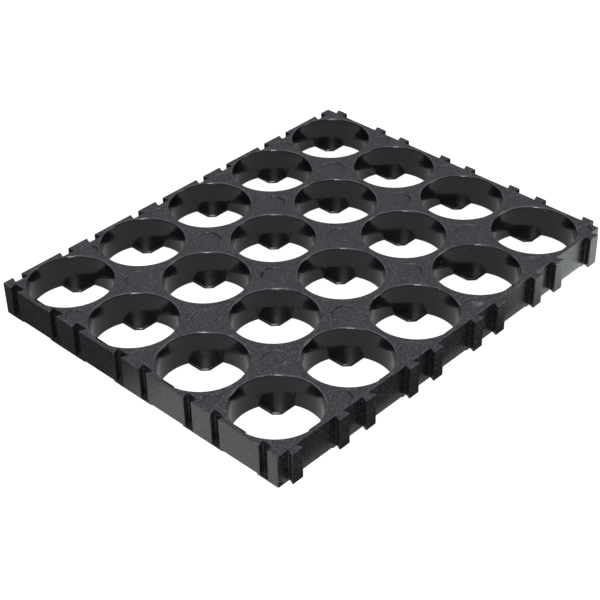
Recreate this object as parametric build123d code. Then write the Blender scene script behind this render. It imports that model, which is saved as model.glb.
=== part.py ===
from build123d import *

import os

# Side-locking holder plate for cylindrical battery cells, one black plastic moulding.
#
# The plate lies flat, cell entry side up. A grid of round pockets holds the cell ends.
# Each pocket has four corner tabs at its foot that stop the cell and leave a cross-shaped
# window where the contact strip meets it. Dovetail tongues on two sides and matching grooves
# on the other two let plates lock edge to edge. The origin is on the underside, below the
# centre of the whole plate with its tongues; X runs along the longer side and Z points up.

# Grid and plate
columns = 5
rows = 4
height = 7.6
corner_round = 0.5  # upright corners of the plate

# Pockets for the cells
pocket_radius = 9.25
pocket_wall = 1.75  # plastic left between two pockets where they are nearest
rim_chamfer = 0.3

# Window and tabs at the foot of each pocket
tab_thickness = 0.5
window_arm = 7.1  # width of each arm of the cross
tab_tip_cut = 1.35  # leg of the cut across each tab's tip
window_draft = 3.0  # degrees; the window widens towards the underside

# Recesses on the underside that take the contact strips
strip_width = 9.2
strip_depth = 0.3

# Dovetails
dovetail_inset = 3.725  # from the line midway between two cells to a dovetail's middle
tongue_reach = 1.5
tongue_tip = 3.0
tongue_root = 1.75
tongue_start = 0.3  # the tongues stop this far above the underside
slide_clearance = 0.14  # between a tongue and the groove it slides in
dovetail_chamfer = 0.15  # breaks the sharp edges of the tips

# Worked out from the sizes above
pitch = 2 * pocket_radius + pocket_wall  # cell centre to cell centre, both ways
dovetail_offset = pitch / 2 - dovetail_inset  # each side of a cell's centre line
length = columns * pitch
width = rows * pitch
pocket_floor = strip_depth + tab_thickness
grid_centre = Vector(-tongue_reach / 2, tongue_reach / 2)
left = grid_centre.X - length / 2
right = grid_centre.X + length / 2
front = grid_centre.Y - width / 2
back = grid_centre.Y + width / 2
cell_x = [left + pitch * (i + 0.5) for i in range(columns)]
cell_y = [front + pitch * (j + 0.5) for j in range(rows)]
cells = [Pos(x, y) for x in cell_x for y in cell_y]


def body():
    """The plain plate with rounded upright corners."""
    outline = RectangleRounded(length, width, corner_round)
    return Pos(*grid_centre) * extrude(outline, height)


def pocket():
    """The round space for one cell, down to the tabs, with its lead-in chamfer."""
    rim_radius = pocket_radius + rim_chamfer
    with BuildPart() as space:
        with BuildSketch(Plane.XZ):
            with BuildLine():
                Polyline(
                    (0, pocket_floor),
                    (pocket_radius, pocket_floor),
                    (pocket_radius, height - rim_chamfer),
                    (rim_radius, height),
                    (0, height),
                    close=True,
                )
            make_face()
        revolve(axis=Axis.Z)
    return space.part


def window():
    """The cross-shaped opening at the foot of one pocket, between its four tabs."""
    reach = 2 * pocket_radius
    tip_line = window_arm + tab_tip_cut  # from the axis to where the cut would cross X or Y
    cross = Rectangle(reach, window_arm) + Rectangle(window_arm, reach)
    cross += Rot(0, 0, 45) * Rectangle(tip_line * 2**0.5, tip_line * 2**0.5)
    outline = Pos(0, 0, pocket_floor) * (cross & Circle(pocket_radius))
    return extrude(outline, pocket_floor, dir=(0, 0, -1), taper=-window_draft)


def dovetail(reach, tip, root):
    """A dovetail outline that starts on the X axis and widens along +Y."""
    outline = Polygon((-root / 2, 0), (root / 2, 0), (tip / 2, reach), (-tip / 2, reach), align=None)
    tips = outline.vertices().sort_by(Axis.Y)[-2:]
    return chamfer(tips, dovetail_chamfer)


def pairs(centres):
    """The two dovetail places beside each cell's centre line."""
    return [c + side * dovetail_offset for c in centres for side in (-1, 1)]


def tongues():
    """Tongues along the front and the right-hand side, stopped above the underside."""
    outline = dovetail(tongue_reach, tongue_tip, tongue_root)
    tongue = Pos(0, 0, tongue_start) * extrude(outline, height - tongue_start)
    on_front = [Pos(x, front) * Rot(0, 0, 180) * tongue for x in pairs(cell_x)]
    on_right = [Pos(right, y) * Rot(0, 0, -90) * tongue for y in pairs(cell_y)]
    return on_front + on_right


def grooves():
    """Full-height grooves along the back and the left-hand side."""
    gap = 2 * slide_clearance
    outline = dovetail(tongue_reach + slide_clearance, tongue_tip + gap, tongue_root + gap)
    groove = extrude(outline, height)
    in_back = [Pos(x, back) * Rot(0, 0, 180) * groove for x in pairs(cell_x)]
    in_left = [Pos(left, y) * Rot(0, 0, -90) * groove for y in pairs(cell_y)]
    return in_back + in_left


def strip_recesses():
    """Shallow recesses that cross under every row and column of cells."""
    low = (Align.CENTER, Align.CENTER, Align.MIN)
    along_x = Box(length, strip_width, strip_depth, align=low)
    along_y = Box(strip_width, width, strip_depth, align=low)
    return [Pos(grid_centre.X, y) * along_x for y in cell_y] + [
        Pos(x, grid_centre.Y) * along_y for x in cell_x
    ]


def cell_holder():
    """The whole moulding."""
    space = pocket() + window()
    plate = body() - grooves()
    plate += tongues()
    plate -= [place * space for place in cells]
    plate -= strip_recesses()
    return plate


os.makedirs("parts", exist_ok=True)
holder = cell_holder()
export_step(holder, "parts/cell_holder.step")
box = holder.bounding_box()
print(f"cell_holder: {len(holder.solids())} solid, {holder.volume:.0f} mm3, {box.size}")
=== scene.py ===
# %% [markdown]
# # Battery cell holder plate
# A flat black plastic plate that holds cylindrical battery cells upright in a grid of round
# pockets. The real one is a single injection moulding, so the scene has a single piece too.
# The construction model gives its place and size; this script remakes its surface with the
# soft edges, witness marks and grain that a moulding has, and lights it like a studio shot.

# %% Load the frame
import math
import random

import bmesh
import bpy
from mathutils import Matrix, Vector
from mathutils.geometry import delaunay_2d_cdt


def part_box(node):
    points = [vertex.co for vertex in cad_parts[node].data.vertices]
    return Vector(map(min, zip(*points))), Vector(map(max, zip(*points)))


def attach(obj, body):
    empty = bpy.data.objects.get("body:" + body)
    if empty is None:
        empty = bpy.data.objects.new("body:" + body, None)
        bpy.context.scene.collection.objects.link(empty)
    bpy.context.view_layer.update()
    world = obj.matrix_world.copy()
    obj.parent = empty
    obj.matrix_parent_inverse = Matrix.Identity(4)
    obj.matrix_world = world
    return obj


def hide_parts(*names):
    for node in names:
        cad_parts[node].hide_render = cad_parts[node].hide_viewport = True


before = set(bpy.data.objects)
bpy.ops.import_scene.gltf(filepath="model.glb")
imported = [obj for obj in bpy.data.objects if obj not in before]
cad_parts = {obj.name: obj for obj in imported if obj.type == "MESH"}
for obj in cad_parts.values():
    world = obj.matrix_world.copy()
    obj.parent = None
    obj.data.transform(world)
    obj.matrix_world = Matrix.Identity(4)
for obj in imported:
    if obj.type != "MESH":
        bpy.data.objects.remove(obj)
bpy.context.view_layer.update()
low, high = (Vector(corner) * 1000 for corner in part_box("cell_holder"))
print("plate in mm:", [round(size, 3) for size in high - low])

# %% [markdown]
# ## Sizes
# The frame's box fixes the outer size. The plate carries tongues on two sides only, so the
# body of the plate is the box less one tongue on the right and one at the front. All sizes
# below are in millimetres; the mesh is turned into metres at the very end.

# %% Sizes of the plate
COLUMNS, ROWS = 5, 4
TONGUE_REACH = 1.5
HEIGHT = high.z
LEFT, RIGHT = low.x, high.x - TONGUE_REACH
FRONT, BACK = low.y + TONGUE_REACH, high.y
PITCH = (RIGHT - LEFT) / COLUMNS
POCKET_RADIUS = 9.25
TAB_TOP = 0.8  # top of the tabs above the underside
RECESS = 0.3  # depth of the strip recesses, and thickness of the floors of the grooves
ARM = 7.1 / 2  # half the width of the window's arms
TIP_CUT, TIP_CORNER = 1.35, 0.35  # each tab's cut-off tip, and how its corners are rounded
DRAFT = math.radians(3)  # the window widens towards the underside
STRIP = 9.2 / 2  # half the width of a strip recess
SLIDE_GAP = 0.14  # play between a tongue and its groove
DOVETAIL_OFFSET = 6.4  # from a cell's centre line to each of its two dovetails
TONGUE_TIP, TONGUE_ROOT = 3.0 / 2, 1.75 / 2  # half widths of a dovetail
TIP_ROUND, ROOT_ROUND = 0.16, 0.12  # the dovetail's rounded corners
CORNER = 0.2  # upright corners of the plate
EDGE = 0.08  # softened edge round the top
TINY = 1e-4  # places that are this near are the same
cell_xs = [LEFT + PITCH * (i + 0.5) for i in range(COLUMNS)]
cell_ys = [FRONT + PITCH * (j + 0.5) for j in range(ROWS)]
cells = [Vector((x, y)) for x in cell_xs for y in cell_ys]
rng = random.Random(18)
print("cell pitch:", round(PITCH, 3), "cells:", len(cells))

# %% [markdown]
# ## The outline
# Seen from above, the plate is one closed line with a dovetail beside every cell. It could be
# cut with booleans, but those leave ragged faces that catch the light. Drawing the line point
# by point and rounding each corner with a true arc keeps every edge clean enough to soften.


# %% Rounding a corner
def rounded(corners, steps=4):
    """Turns each (point, radius) corner of a closed line into the points of an arc."""
    arcs = []
    for index, (point, radius) in enumerate(corners):
        if not radius:
            arcs.append([point.copy()])
            continue
        back = (corners[index - 1][0] - point).normalized()
        ahead = (corners[(index + 1) % len(corners)][0] - point).normalized()
        half = back.angle(ahead) / 2
        centre = point + (back + ahead).normalized() * radius / math.sin(half)
        start = point + back * radius / math.tan(half) - centre
        end = point + ahead * radius / math.tan(half) - centre
        arcs.append([centre + start.slerp(end, k / steps) * radius for k in range(steps + 1)])
    return arcs


def joined(lines):
    """One line from several, end to end."""
    return [point for line in lines for point in line]


# %% [markdown]
# ## Dovetails
# Two dovetails stand beside each cell. On the front and the right they are tongues; on the
# back and the left they are cut in, and a little larger all round, so that the next plate
# slides on. One function draws both, because only the direction and the play differ.


# %% One side of the plate
def dovetail(middle, along, out, grow):
    """Four corners of a dovetail that reaches from the side in the direction out."""
    reach, tip, root = TONGUE_REACH + grow, TONGUE_TIP + grow, TONGUE_ROOT + grow
    return [
        (middle - along * root, ROOT_ROUND),
        (middle - along * tip + out * reach, TIP_ROUND),
        (middle + along * tip + out * reach, TIP_ROUND),
        (middle + along * root, ROOT_ROUND),
    ]


def side(start, along, out, count, grow):
    """Corners along one side: the plate's corner, then ten for each cell."""
    corners = [(start, CORNER)]
    for k in range(count):
        middle = start + along * PITCH * (k + 0.5)
        corners += dovetail(middle - along * DOVETAIL_OFFSET, along, out, grow)
        corners += [(middle - along * STRIP, 0), (middle + along * STRIP, 0)]
        corners += dovetail(middle + along * DOVETAIL_OFFSET, along, out, grow)
    return corners


def split_side(arcs):
    """Parts one side's arcs into the dovetails and the plain line without them."""
    plain, dovetails = arcs[:1], []
    for k in range(1, len(arcs), 10):
        first, strip, second = arcs[k : k + 4], arcs[k + 4 : k + 6], arcs[k + 6 : k + 10]
        dovetails += [joined(first), joined(second)]
        plain += [[first[0][0], first[-1][-1]], *strip, [second[0][0], second[-1][-1]]]
    return joined(plain), dovetails


# %% [markdown]
# ## All the way round
# The four sides are drawn in turn, with the plate always on the left, and rounded in one go so
# that no corner is missed. The underside needs the same line without its dovetails, because
# tongues and groove floors end above it, so each side is also parted into the two.

# %% The four sides
x_axis, y_axis = Vector((1, 0)), Vector((0, 1))
sides = [
    side(Vector((LEFT, FRONT)), x_axis, -y_axis, COLUMNS, 0),
    side(Vector((RIGHT, FRONT)), y_axis, x_axis, ROWS, 0),
    side(Vector((RIGHT, BACK)), -x_axis, -y_axis, COLUMNS, SLIDE_GAP),
    side(Vector((LEFT, BACK)), -y_axis, x_axis, ROWS, SLIDE_GAP),
]
arcs = rounded(joined(sides))
outline = joined(arcs)
plain_outline, dovetails = [], []
for corners in sides:
    plain, found = split_side(arcs[: len(corners)])
    arcs = arcs[len(corners) :]
    plain_outline += plain
    dovetails.append(found)
print("points in the outline:", len(outline), "dovetails:", sum(map(len, dovetails)))


# %% Moving a line sideways
def inset(line, distance):
    """The closed line moved inwards by a distance, corner by corner."""
    moved = []
    for index, point in enumerate(line):
        before = (point - line[index - 1]).normalized()
        after = (line[(index + 1) % len(line)] - point).normalized()
        middle = (before + after).normalized()
        normal = Vector((-middle.y, middle.x))
        moved.append(point + normal * distance / max(normal.dot(Vector((-after.y, after.x))), 0.3))
    return moved


# %% [markdown]
# ## A shell built in rings
# Every wall of the plate is a stack of closed rings with the same number of points, joined by
# bands of four-sided faces. Flat areas between rings are filled by a constrained Delaunay
# triangulation, which keeps all the given edges, so nothing has to be cut or patched later.


# %% The mesh under construction
class Shell:
    """Points in millimetres, with faces that join rings and fill flats."""

    def __init__(self):
        self.points, self.faces = [], []

    def ring(self, line, height):
        """Adds a line of flat points at one height, or at a height for each point."""
        heights = height if isinstance(height, list) else [height] * len(line)
        first = len(self.points)
        self.points += [(p.x, p.y, z) for p, z in zip(line, heights)]
        return list(range(first, first + len(line)))

    def band(self, upper, lower, closed=True):
        """Joins two rings, point to point."""
        for k in range(len(upper) if closed else len(upper) - 1):
            n = (k + 1) % len(upper)
            self.faces.append((upper[k], lower[k], lower[n], upper[n]))

    def stack(self, lines_and_heights):
        """Joins a list of (line, height) from top to bottom, and returns the rings."""
        rings = [self.ring(line, height) for line, height in lines_and_heights]
        for upper, lower in zip(rings, rings[1:]):
            self.band(upper, lower)
        return rings


def circle(centre, radius, angles):
    """Points round a circle at the given angles."""
    return [centre + Vector((math.cos(a), math.sin(a))) * radius for a in angles]


def fill(loops, extra_edges=()):
    """Triangles between closed loops: (points, triangles)."""
    points, edges = [], []
    for loop in loops:
        first = len(points)
        points += [Vector(p) for p in loop]
        edges += [(first + k, first + (k + 1) % len(loop)) for k in range(len(loop))]
    for start, end in extra_edges:
        edges.append((len(points), len(points) + 1))
        points += [Vector(start), Vector(end)]
    found = delaunay_2d_cdt(points, edges, [], 1, 1e-5)
    return found[0], [tuple(face) for face in found[2]]


shell = Shell()

# %% [markdown]
# ## Pockets
# A pocket is a plain round wall with a small lead-in at its mouth. At its foot four tabs reach
# in from the corners and leave a cross-shaped window. The ring angles are chosen so that
# points fall exactly where the tabs' edges meet the wall.

# %% The bends at the rim and at the tabs, as (sideways, downwards or height)
RIM_ROUND, TAB_ROUND = 0.36, 0.35
bends = [math.radians(a) for a in (90, 75, 60, 45, 30, 15, 0)]
rim_profile = [(RIM_ROUND * (1 - math.cos(a)), RIM_ROUND * (1 - math.sin(a))) for a in bends]
tab_profile = [
    (TAB_ROUND * (1 - math.cos(a)), TAB_TOP - TAB_ROUND * (1 - math.sin(a))) for a in bends[::-2]
]
RIM_REACH = POCKET_RADIUS + RIM_ROUND
print("rings in a rim:", len(rim_profile), "lines in a tab's edge:", len(tab_profile))

# %% A quarter of the foot's ring, as (angle, height): window arm, bend, tab, bend
ARC_STEPS = 12
steps = range(ARC_STEPS + 1)
arm_angle, *bend_angles, tab_angle = [math.asin((ARM + s) / POCKET_RADIUS) for s, z in tab_profile]
quarter = [(arm_angle * (2 * k / ARC_STEPS - 1), TAB_TOP - TAB_ROUND) for k in steps]
bend = [(a, z) for a, (s, z) in zip(bend_angles, tab_profile[1:])]
tab_span = math.pi / 2 - 2 * tab_angle
quarter += bend + [(tab_angle + tab_span * k / ARC_STEPS, TAB_TOP) for k in steps]
quarter += [(math.pi / 2 - a, z) for a, z in reversed(bend)]
pocket_angles = [a + q * math.pi / 2 for q in range(4) for a, z in quarter]
foot_heights = [z for q in range(4) for a, z in quarter]
print("points in a pocket's ring:", len(pocket_angles))


# %% The wall of a pocket
def uneven(angles, size, waves):
    """A smooth wobble round a circle, from a few seeded sine waves."""
    parts = [(n, rng.uniform(0, 6.28), rng.uniform(0.4, 1.0) / n**0.5) for n in waves]
    return [size * sum(w * math.sin(n * a + p) for n, p, w in parts) for a in angles]


def pocket(centre):
    """The wall of one pocket, from its softened mouth down to the tabs."""
    wobble = uneven(pocket_angles, 0.008, (2, 3, 5, 9, 14))
    stack = []
    for spread, drop in rim_profile:
        share = math.sin(math.pi * spread / RIM_ROUND)
        line = [
            centre + Vector((math.cos(a), math.sin(a))) * (POCKET_RADIUS + spread + w * share)
            for a, w in zip(pocket_angles, wobble)
        ]
        stack.append((line, HEIGHT - drop))
    stack.append((circle(centre, POCKET_RADIUS, pocket_angles), foot_heights))
    return shell.stack(stack)[-1]


# %% [markdown]
# ## Tabs and window
# The tabs stop the cell. Each is a thin corner with its tip cut off and its upper edge rounded,
# so its edge is three lines that run from wall to wall, one below the other. The window is
# what the four tabs leave open. Its wall leans out by the mould's draft.


# %% Tabs and window
def tab_line(spread):
    """The edge of the first tab from wall to wall, moved towards the wall by a spread."""
    arm, cut = ARM + spread, TIP_CUT - spread * (2 - math.sqrt(2))
    end = math.sqrt(POCKET_RADIUS**2 - arm**2)
    places = [(end, arm), (arm + cut, arm), (arm, arm + cut), (arm, end)]
    radii = [0, TIP_CORNER, TIP_CORNER, 0]
    return joined(rounded([(Vector(p), r) for p, r in zip(places, radii)], 3))


def foot_of(centre, wall):
    """The four tabs and the window between them; returns the window's lower line."""
    window, lower_line = [], []
    size, bends_up = len(quarter), len(bend)
    draft = (TAB_TOP - RECESS) * math.tan(DRAFT)
    arm_angles = [a for a, z in quarter[: ARC_STEPS + 1]]
    for q in range(4):
        turn = Matrix.Rotation(q * math.pi / 2, 2)
        part = (wall + wall)[q * size : (q + 1) * size + 1]
        rings = []
        for k, (spread, height) in enumerate(tab_profile):
            edge = shell.ring([centre + turn @ p for p in tab_line(spread)[1:-1]], height)
            rings.append([part[ARC_STEPS + k]] + edge + [part[-1 - k]])
        for inner, outer in zip(rings[1:], rings):
            shell.band(inner, outer, closed=False)
        shell.faces.append(tuple(rings[-1] + part[-3 - bends_up : ARC_STEPS + 1 + bends_up : -1]))
        window += part[: ARC_STEPS + 1] + rings[0][1:-1]
        arm_points = circle(Vector((0, 0)), POCKET_RADIUS + draft, arm_angles)
        lower_line += [centre + turn @ p for p in arm_points]
        lower_line += [centre + turn @ p for p in tab_line(draft)[1:-1]]
    shell.band(window, shell.ring(lower_line, RECESS))
    return lower_line


windows = [foot_of(centre, pocket(centre)) for centre in cells]
print("points after the pockets:", len(shell.points))

# %% [markdown]
# ## Outer walls
# Moulded edges are never knife sharp. Four rings turn the corner between the top face and
# the sides, and the last ring ends where the strip recesses and the tongues stop.

# %% Outer walls
turns = [math.radians(a) for a in (90, 60, 30, 0)]
wall_stack = [
    (inset(outline, EDGE * (1 - math.cos(a))), HEIGHT - EDGE * (1 - math.sin(a))) for a in turns
]
top_line = wall_stack[0][0]
shell.stack(wall_stack + [(outline, RECESS)])
print("points after the outer walls:", len(shell.points))

# %% [markdown]
# ## Ejector marks
# Pins push the hot part out of the mould and leave round prints: wide ones where four pockets
# meet and smaller ones along the sides. A print is a few rings as well. It is sunk by about a
# tenth of a millimetre, deepest just inside its edge, and lies a little deeper on one side.

# %% Places of the marks, as (x, y, radius)
between_xs = [LEFT + PITCH * i for i in range(1, COLUMNS)]
between_ys = [FRONT + PITCH * j for j in range(1, ROWS)]
mark_places = [(x, y, 2.75) for x in between_xs for y in between_ys]
mark_places += [(LEFT + 2.9, y, 1.95) for y in between_ys]
mark_places += [(RIGHT - 2.9, y, 2.05) for y in between_ys]
mark_places += [(x, FRONT + 2.75, 2.1) for x in between_xs]
mark_places += [(x, BACK - 4.0, 1.9) for x in between_xs]
mark_places += [(RIGHT - 2.4, FRONT + 1.95, 1.4), (LEFT + 2.75, BACK - 2.75, 0.62)]

# %% One mark
# How far outside the mark's edge each ring lies, and its share of the mark's depth.
MARK_PROFILE = [(0.1, 0.0), (0.06, 0.15), (0.0, 1.3), (-0.05, 1.5), (-0.16, 1.0), (-0.5, 0.7)]


def mark(x, y, radius):
    """A round print, a little deeper on one side; returns its outer line."""
    count = 56 if radius > 1 else 32
    angles = [math.tau * k / count for k in range(count)]
    centre = Vector((x, y))
    tilt, depth = rng.uniform(0, math.tau), rng.uniform(0.08, 0.13)
    lean = [1 + 0.6 * math.cos(a - tilt) for a in angles]
    stack = [
        (circle(centre, radius + spread, angles), [HEIGHT - depth * sink * n for n in lean])
        for spread, sink in MARK_PROFILE
    ]
    rings = shell.stack(stack)
    shell.faces.append(tuple(rings[-1]))
    return stack[0][0]


mark_lines = [mark(*place) for place in mark_places]
print("marks:", len(mark_lines))


# %% [markdown]
# ## The flat top
# The top is one flat area with forty-eight round holes in it. The triangulation also fills the
# holes, so each triangle's centre is tested against the pocket mouths and the marks, and only
# the triangles outside all of them are kept.


# %% Tests on flat faces
def inside(point, line):
    """Is a point inside a closed line? Counts the times that a ray from it crosses the line."""
    crossings = 0
    for a, b in zip(line, line[1:] + line[:1]):
        if (a.y > point.y) != (b.y > point.y):
            crossings += point.x < a.x + (b.x - a.x) * (point.y - a.y) / (b.y - a.y)
    return crossings % 2 == 1


def middle_of(face, points):
    """The centre of a flat face."""
    return sum((points[k] for k in face), Vector((0, 0))) / len(face)


# %% The flat top
mouths = [circle(centre, RIM_REACH, pocket_angles) for centre in cells]
points, triangles = fill([top_line] + mouths + mark_lines)
ring = shell.ring(points, HEIGHT)
for face in triangles:
    if not any(inside(middle_of(face, points), hole) for hole in mouths + mark_lines):
        shell.faces.append(tuple(ring[k] for k in face))
print("faces with the top:", len(shell.faces))

# %% [markdown]
# ## Underside
# Contact strips run under every row and column of cells in recesses 0.3 mm deep, which leaves
# square pads between the cells. The recess level is triangulated once, with the pads' edges
# among the kept lines. Triangles inside a pad are moved down and get a small wall round them.


# %% Pads and recesses
def spans(start, count):
    """The stretches between strips along one direction, as (from, to)."""
    edges = [start]
    for k in range(count):
        middle = start + PITCH * (k + 0.5)
        edges += [middle - STRIP, middle + STRIP]
    edges.append(start + PITCH * count)
    return list(zip(edges[::2], edges[1::2]))


pad_edges = []
for x0, x1 in spans(LEFT, COLUMNS):
    for y0, y1 in spans(FRONT, ROWS):
        corners = [Vector(p) for p in ((x0, y0), (x1, y0), (x1, y1), (x0, y1))]
        on_side = [y0 == FRONT, abs(x1 - RIGHT) < TINY, abs(y1 - BACK) < TINY, x0 == LEFT]
        for k in range(4):
            if not on_side[k]:
                pad_edges.append((corners[k], corners[(k + 1) % 4]))
points, triangles = fill([plain_outline] + windows, pad_edges)
print("triangles across the underside:", len(triangles))


# %% Faces of the recesses and the pads
def on_pad(point):
    """Is a point on one of the raised pads?"""
    clear_x = min(abs(point.x - x) for x in cell_xs) > STRIP
    clear_y = min(abs(point.y - y) for y in cell_ys) > STRIP
    return clear_x and clear_y


recess_ring, pad_ring = shell.ring(points, RECESS), shell.ring(points, 0.0)
pad_sides = {}
for face in triangles:
    middle = middle_of(face, points)
    nearest = min(range(len(cells)), key=lambda n: (cells[n] - middle).length)
    if inside(middle, windows[nearest]):
        continue
    level = pad_ring if on_pad(middle) else recess_ring
    shell.faces.append(tuple(level[k] for k in reversed(face)))
    if level is pad_ring:
        for k in range(3):
            edge = (face[k], face[(k + 1) % 3])
            if edge[::-1] in pad_sides:
                del pad_sides[edge[::-1]]
            else:
                pad_sides[edge] = True
for a, b in pad_sides:
    shell.faces.append((recess_ring[a], pad_ring[a], pad_ring[b], recess_ring[b]))
print("walls round the pads:", len(pad_sides))

# %% Undersides of the tongues and floors of the grooves
for line in joined(dovetails):
    shell.faces.append(tuple(shell.ring(line, RECESS)))
print("faces in all:", len(shell.faces))

# %% [markdown]
# ## Into a mesh
# The parts of the shell meet point on point, so merging doubled points closes it. Only
# sharp turns stay sharp; the small rings at the edges shade as one soft bend. Weighted
# normals keep the wide flats flat beside them.

# %% Make the mesh
used = sorted({index for face in shell.faces for index in face})
number = {old: new for new, old in enumerate(used)}
mesh = bpy.data.meshes.new("holder_plate")
mesh.from_pydata(
    [Vector(shell.points[k]) / 1000 for k in used],
    [],
    [tuple(number[k] for k in face) for face in shell.faces],
)
work = bmesh.new()
work.from_mesh(mesh)
bmesh.ops.remove_doubles(work, verts=work.verts, dist=2e-6)
bmesh.ops.dissolve_degenerate(work, edges=work.edges, dist=1e-7)
bmesh.ops.recalc_face_normals(work, faces=work.faces)
open_edges = sum(1 for edge in work.edges if len(edge.link_faces) != 2)
volume = work.calc_volume(signed=True) * 1e9
work.to_mesh(mesh)
work.free()
print("faces:", len(mesh.polygons), "open edges:", open_edges, "volume mm3:", round(volume))

# %% [markdown]
# ## Where the edge highlight and the wear go
# Two numbers are kept at every point of the mesh for the finish: whether it lies on a softened
# edge of the top, which is painted paler as the highlight that a rounded edge catches and as
# wear, and whether it lies on a polished pocket wall.

# %% Mark the edges and the pocket walls
TOP_FLAT = 0.004  # points nearer the top than this are still on the flat
# The softened edges get a painted highlight, broken up like wear; these set how far down it
# reaches
RIM_HIGHLIGHT_AND_WEAR, SIDE_HIGHLIGHT_AND_WEAR = 0.06, 0.025  # how far down the rims and the other edges are rubbed
WALL_DEPTH = 0.2  # how far behind a pocket's wall its polish reaches
edge_highlight_and_wear = mesh.attributes.new("edge", "FLOAT", "POINT")
smooth = mesh.attributes.new("bore", "FLOAT", "POINT")
for vertex, edge_value, bore_value in zip(mesh.vertices, edge_highlight_and_wear.data, smooth.data):
    at = vertex.co * 1000
    reach = min((at.xy - centre).length for centre in cells)
    deepest = RIM_HIGHLIGHT_AND_WEAR if reach < RIM_REACH else SIDE_HIGHLIGHT_AND_WEAR
    edge_value.value = 1.0 if TOP_FLAT < HEIGHT - at.z < deepest else 0.0
    bore_value.value = 1.0 if reach < POCKET_RADIUS + WALL_DEPTH else 0.0
print("points on edges:", sum(int(item.value) for item in edge_highlight_and_wear.data))

# %% Make the object
mesh.shade_smooth()
mesh.set_sharp_from_angle(angle=math.radians(38))
plate = bpy.data.objects.new("holder_plate", mesh)
bpy.context.scene.collection.objects.link(plate)
soften = plate.modifiers.new("flats", "WEIGHTED_NORMAL")
soften.keep_sharp = True
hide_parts("cell_holder")
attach(plate, "root")
print("piece:", plate.name, [round(size * 1000, 2) for size in plate.dimensions])

# %% [markdown]
# ## Finish: black moulded plastic
# The plastic itself is almost black, so nearly everything the eye sees is reflection. That
# makes roughness and tiny bumps more important than colour. Faces that lie flat in the mould
# have a fine grain, while upright walls are smoother, with faint streaks drawn by the steel
# as the part slides out. Node maths reads best as plain formulas, so a small class wraps a
# socket and turns each operator into a Math node.


# %% Formulas as nodes
class Wire:
    """A socket that can be used in plain arithmetic."""

    def __init__(self, tree, socket):
        self.tree, self.socket = tree, socket

    def math(self, operation, *others):
        """A Math node on this value and others."""
        node = self.tree.nodes.new("ShaderNodeMath")
        node.operation = operation
        for slot, value in zip(node.inputs, (self, *others)):
            join(self.tree, value, slot)
        return Wire(self.tree, node.outputs[0])

    def __add__(self, other):
        return self.math("ADD", other)

    def __sub__(self, other):
        return self.math("SUBTRACT", other)

    def __rsub__(self, other):
        return (self * -1).math("ADD", other)

    def __mul__(self, other):
        return self.math("MULTIPLY", other)

    __radd__, __rmul__ = __add__, __mul__


def join(tree, value, slot):
    """Links a wire to a slot, or writes a plain value into it."""
    if isinstance(value, Wire):
        tree.links.new(value.socket, slot)
    else:
        slot.default_value = value


# %% Building a finish
class Finish:
    """The nodes of a material or a world, under construction."""

    def __init__(self, owner):
        owner.use_nodes = True
        self.owner, self.tree = owner, owner.node_tree
        self.tree.nodes.clear()

    def node(self, kind, settings=None, inputs=None, output=0):
        """Adds a node, sets it up, feeds it, and returns one output."""
        node = self.tree.nodes.new("ShaderNode" + kind)
        for name, value in (settings or {}).items():
            setattr(node, name, value)
        for name, value in (inputs or {}).items():
            join(self.tree, value, node.inputs[name])
        return Wire(self.tree, node.outputs[output]) if len(node.outputs) else None

    def noise(self, where, size, detail=2.0, roughness=0.5):
        """Soft noise whose blobs are about a size in millimetres."""
        inputs = {"Vector": where, "Scale": 1 / size, "Detail": detail, "Roughness": roughness}
        return self.node("TexNoise", {}, inputs)

    def stretch(self, where, scale):
        """Coordinates scaled by a different amount in X, Y and Z."""
        return self.node("VectorMath", {"operation": "MULTIPLY"}, {0: where, 1: scale})

    def part(self, vector, axis):
        """One of the X, Y and Z of a vector."""
        return self.node("SeparateXYZ", {}, {"Vector": vector}, axis)

    def blend(self, share, first, second):
        """A colour that goes from the first to the second as the share goes from 0 to 1."""
        return self.node("Mix", {"data_type": "RGBA"}, {0: share, 6: first, 7: second}, 2)

    def either(self, share, first, second):
        """The second of two shaders where the share is 1, the first where it is 0."""
        return self.node("MixShader", {}, {0: share, 1: first, 2: second})

    def above(self, value, low_end, high_end):
        """0 below one level, 1 above another, smooth in between."""
        settings = {"interpolation_type": "SMOOTHSTEP"}
        inputs = {"Value": value, "From Min": low_end, "From Max": high_end}
        return self.node("MapRange", settings, inputs)


# %% Where on the plate
plastic = Finish(bpy.data.materials.new("black_moulded_plastic"))
metres = plastic.node("TexCoord", {}, {}, "Object")
place = plastic.stretch(metres, (1000, 1000, 1000))
facing = plastic.part(plastic.node("NewGeometry", {}, {}, "Normal"), "Z")
flat = plastic.above(facing.math("ABSOLUTE"), 0.6, 0.85)
edge = plastic.node("Attribute", {"attribute_name": "edge"}, {}, "Fac")
bore = plastic.node("Attribute", {"attribute_name": "bore"}, {}, "Fac")
print("nodes that say where:", len(plastic.tree.nodes))

# %% Grain of the flat faces and streaks of the walls
fine = plastic.noise(place, 0.32, 3.0, 0.6)
coarse = plastic.noise(place, 1.1, 2.0, 0.5)
cloud = plastic.noise(place, 16.0, 3.0, 0.55)
drawn = plastic.noise(plastic.stretch(place, (1.0, 1.0, 0.06)), 0.7, 3.0, 0.6)
hair = plastic.noise(plastic.stretch(place, (1.0, 0.045, 1.0)), 0.35, 2.0, 0.5)
scratch = plastic.above(hair, 0.7, 0.74) * plastic.above(cloud, 0.5, 0.62)
pepper = plastic.above(plastic.noise(place, 0.3, 2.0, 0.6), 0.5, 0.72)
# The grain's speckles are painted paler in the colour, as the glints its gloss catches, most on
# the flat faces
grain_glints = pepper * (flat * 0.55 + 0.45) * (1 - bore * 0.9)
print("nodes with the grain:", len(plastic.tree.nodes))
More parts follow.
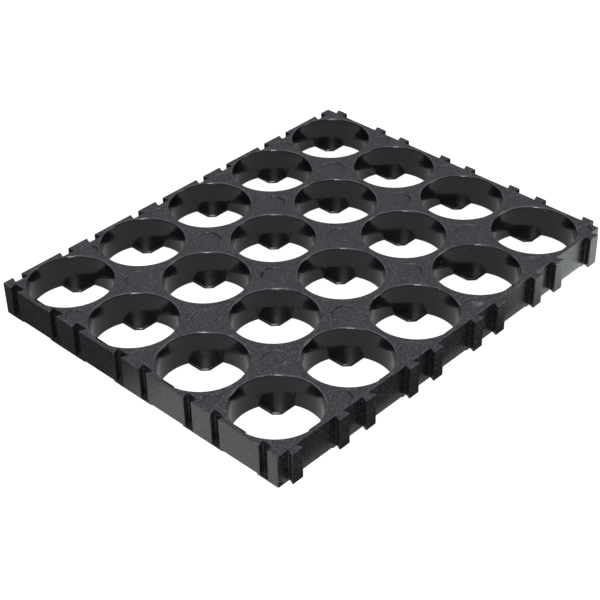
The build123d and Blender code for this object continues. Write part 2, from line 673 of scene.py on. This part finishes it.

# %% Dust, nicks and the painted edge highlight
spots = {"Vector": place, "Scale": 0.42, "Randomness": 1.0}
specks = plastic.node("TexVoronoi", {"feature": "F1"}, spots)
chosen = plastic.above(plastic.noise(place, 2.3, 1.0), 0.55, 0.6)
dust = (1 - plastic.above(specks, 0.03, 0.055)) * chosen
nick = plastic.above(plastic.noise(place, 0.6, 2.0), 0.54, 0.68) * edge
# Painted highlight along the softened edges of the top, broken up by noise like rubbed wear
rubbed_and_highlit = edge * plastic.above(plastic.noise(place, 4.0, 2.0), 0.35, 0.65)
print("nodes with the wear:", len(plastic.tree.nodes))

# %% [markdown]
# ## From masks to plastic
# Each mask now feeds what it changes on the real part. Polished walls are glossier than the
# flats, streaks and scratches shift the gloss, and the grain stands a few hundredths of a
# millimetre proud. Nicks are paler than the rest. The softened edges are painted paler, as a
# highlight and as wear, and the grain's tips are painted paler as the glints of its gloss.
# Only dust has a colour of its own.

# %% How rough and how bumpy
roughness = 0.26 - bore * 0.14 + flat * 0.14 + (cloud - 0.5) * 0.14
roughness = roughness + (drawn - 0.5) * (1 - flat) * 0.16
roughness = roughness + scratch * 0.1 + dust * 0.25 + (fine - 0.5) * 0.12
height = (fine * 2.6 + coarse * 1.2) * (flat * 0.75 + 0.25) * (1 - bore * 0.9)
height = height + drawn * (1 - flat) * 0.3 - nick * 0.8 - scratch * 0.25 + dust
bump = plastic.node("Bump", {}, {"Strength": 1.0, "Distance": 0.00005, "Height": height}, "Normal")
print("nodes with the bumps:", len(plastic.tree.nodes))

# %% Colour and shader
BLACK, GREY, DUST = (0.0025, 0.0025, 0.0032, 1), (0.085, 0.088, 0.099, 1), (0.32, 0.33, 0.33, 1)
# Paler tone: random cloud, paler nicks, a painted highlight on the softened edges with wear, and
# the grain's glints painted into the colour
tone = cloud * 0.05 + rubbed_and_highlit * 0.6 + edge * 0.3 + nick * 0.5 + grain_glints * 0.85
colour = plastic.blend(tone.math("MINIMUM", 1.0), BLACK, GREY)
colour = plastic.blend(dust * 0.6, colour, DUST)
shader = plastic.node(
    "BsdfPrincipled",
    {},
    {"Base Color": colour, "Roughness": roughness, "Normal": bump, "IOR": 1.42},
)
plastic.node("OutputMaterial", {}, {"Surface": shader})
mesh.materials.append(plastic.owner)
print("nodes in the plastic:", len(plastic.tree.nodes))

# %% [markdown]
# ## Studio
# Black plastic shows little but what it mirrors, so its studio is built from the things round
# it. The paper floor is white to the eye by its own colour, and keeps a faint contact shadow.
# In a reflection it is painted darker, and three glowing patches are painted on it that only
# reflections see: one beneath the plate, one on its left and one in front. Light that bounces
# off it meets plain grey paper. The floor is clear from below, so that the underside can be seen.

# %% Floor
floor_mesh = bpy.data.meshes.new("floor")
floor_mesh.from_pydata([(-3, -3, 0), (3, -3, 0), (3, 3, 0), (-3, 3, 0)], [], [(0, 1, 2, 3)])
floor = bpy.data.objects.new("floor", floor_mesh)
bpy.context.scene.collection.objects.link(floor)
print("floor in metres:", list(floor.dimensions.xy))

# %% What the eye sees of the paper
paper = Finish(bpy.data.materials.new("white_paper"))
lit = paper.node("BsdfDiffuse", {}, {"Color": (0.3, 0.3, 0.3, 1)})
glow = paper.node("Emission", {}, {"Color": (1, 1, 1, 1), "Strength": 0.8})
to_eye = paper.node("AddShader", {}, {0: lit, 1: glow})
to_bounces = paper.node("BsdfDiffuse", {}, {"Color": (0.45, 0.45, 0.45, 1)})
print("nodes in the plain paper:", len(paper.tree.nodes))

# %% What the plastic mirrors of it
spot = paper.stretch(paper.node("TexCoord", {}, {}, "Object"), (1000, 1000, 1000))
across, along = paper.part(spot, "X"), paper.part(spot, "Y")
# Painted reflections: patches that glow only for glossy rays, one beneath the plate, one on its
# left and one in front
painted_reflection_beneath = across.math("ABSOLUTE").math("LESS_THAN", RIGHT)
painted_reflection_beneath = painted_reflection_beneath * along.math("ABSOLUTE").math("LESS_THAN", BACK)
painted_reflection_left = paper.above(along, 12, -8) * across.math("LESS_THAN", LEFT)
painted_reflection_front = paper.above(across, 14, 50) * along.math("LESS_THAN", FRONT)
painted_reflections = painted_reflection_beneath * 0.55 + painted_reflection_left * 1.05 + painted_reflection_front * 1.9 + 0.02
pale = paper.node("VectorMath", {"operation": "SCALE"}, {0: (0.95, 0.99, 0.98), "Scale": painted_reflections})
reflection_glow = paper.node("Emission", {}, {"Color": pale, "Strength": 1.0})
# The paper itself is painted darker for glossy rays
dim = paper.node("BsdfDiffuse", {}, {"Color": (0.08, 0.08, 0.08, 1)})
to_mirrors = paper.node("AddShader", {}, {0: dim, 1: reflection_glow})
print("nodes with the cards:", len(paper.tree.nodes))

# %% One paper for all
eye = paper.node("LightPath", {}, {}, "Is Camera Ray")
mirror = paper.node("LightPath", {}, {}, "Is Glossy Ray")
from_below = paper.node("NewGeometry", {}, {}, "Backfacing")
surface = paper.either(mirror, to_bounces, to_mirrors)
surface = paper.either(eye, surface, to_eye)
surface = paper.either(from_below, surface, paper.node("BsdfTransparent"))
paper.node("OutputMaterial", {}, {"Surface": surface})
floor_mesh.materials.append(paper.owner)
print("nodes in the paper:", len(paper.tree.nodes))

# %% [markdown]
# ## The room
# A plain, slightly cool sky stands for the walls of the studio. The eye sees it at full
# strength, which is white. It gives the part only about half of that, so the plastic stays
# black.

# %% World
SKY = (0.92, 0.96, 1, 1)
world = bpy.data.worlds.new("studio")
bpy.context.scene.world = world
sky = Finish(world)
eye = sky.node("LightPath", {}, {}, "Is Camera Ray")
seen = sky.node("Background", {}, {"Color": SKY, "Strength": 1.0})
given = sky.node("Background", {}, {"Color": SKY, "Strength": 0.54})
sky.node("OutputWorld", {}, {"Surface": sky.either(eye, given, seen)})
print("nodes in the world:", len(sky.tree.nodes))

# %% [markdown]
# ## Lamps
# Softboxes are square lamps whose size sets how soft their light is. Two small ones stand low
# beside the left and front sides, a wide one hangs overhead, and the key lamp stands far off
# to the left and gives the light its direction.


# %% Lamps
def softbox(name, at, size, watts, tint=(1, 1, 1)):
    """A square area lamp, placed in millimetres, that faces the plate."""
    light = bpy.data.lights.new(name, "AREA")
    light.size = size / 1000
    light.energy = watts
    light.color = tint
    lamp = bpy.data.objects.new(name, light)
    bpy.context.scene.collection.objects.link(lamp)
    lamp.location = Vector(at) / 1000
    lamp.rotation_euler = (-lamp.location).to_track_quat("-Z", "Y").to_euler()
    return lamp


lamps = [
    softbox("left_box", (-130, -60, 60), 60, 0.06, (0.9, 0.96, 1)),
    softbox("right_box", (110, -110, 50), 60, 0.08, (0.97, 1, 0.97)),
    softbox("top_box", (60, 160, 480), 420, 0.8),
    softbox("key_box", (-320, -260, 400), 120, 2.5),
]
print("lamps:", [(lamp.name, round(lamp.data.energy, 2)) for lamp in lamps])

# %% [markdown]
# ## Camera
# The plate is seen corner first and from above, through a long lens that keeps its sides
# nearly parallel. A compass bearing, a dip, a roll and a point to look at place the camera,
# because each can be changed without the others.

# %% Camera
BEARING, DIP, ROLL = (math.radians(a) for a in (45.6, 36.02, -1.385))
AIM, DISTANCE = Vector((-13.75, -9.6, HEIGHT)), 304.5
look = Vector((math.sin(BEARING), math.cos(BEARING), 0)) * math.cos(DIP)
look.z = -math.sin(DIP)
level = look.cross(Vector((0, 0, 1))).normalized()
upward = level.cross(look)
right_hand = level * math.cos(ROLL) + upward * math.sin(ROLL)
top_hand = upward * math.cos(ROLL) - level * math.sin(ROLL)
lens = bpy.data.cameras.new("camera")
lens.lens, lens.sensor_width, lens.clip_start = 88.5, 36, 0.01
camera = bpy.data.objects.new("camera", lens)
bpy.context.scene.collection.objects.link(camera)
turn = Matrix((right_hand, top_hand, -look)).transposed().to_4x4()
camera.matrix_world = Matrix.Translation((AIM - look * DISTANCE) / 1000) @ turn
bpy.context.scene.camera = camera
bpy.context.scene.view_settings.view_transform = "Standard"
print("camera height in mm:", round(camera.matrix_world.translation.z * 1000))
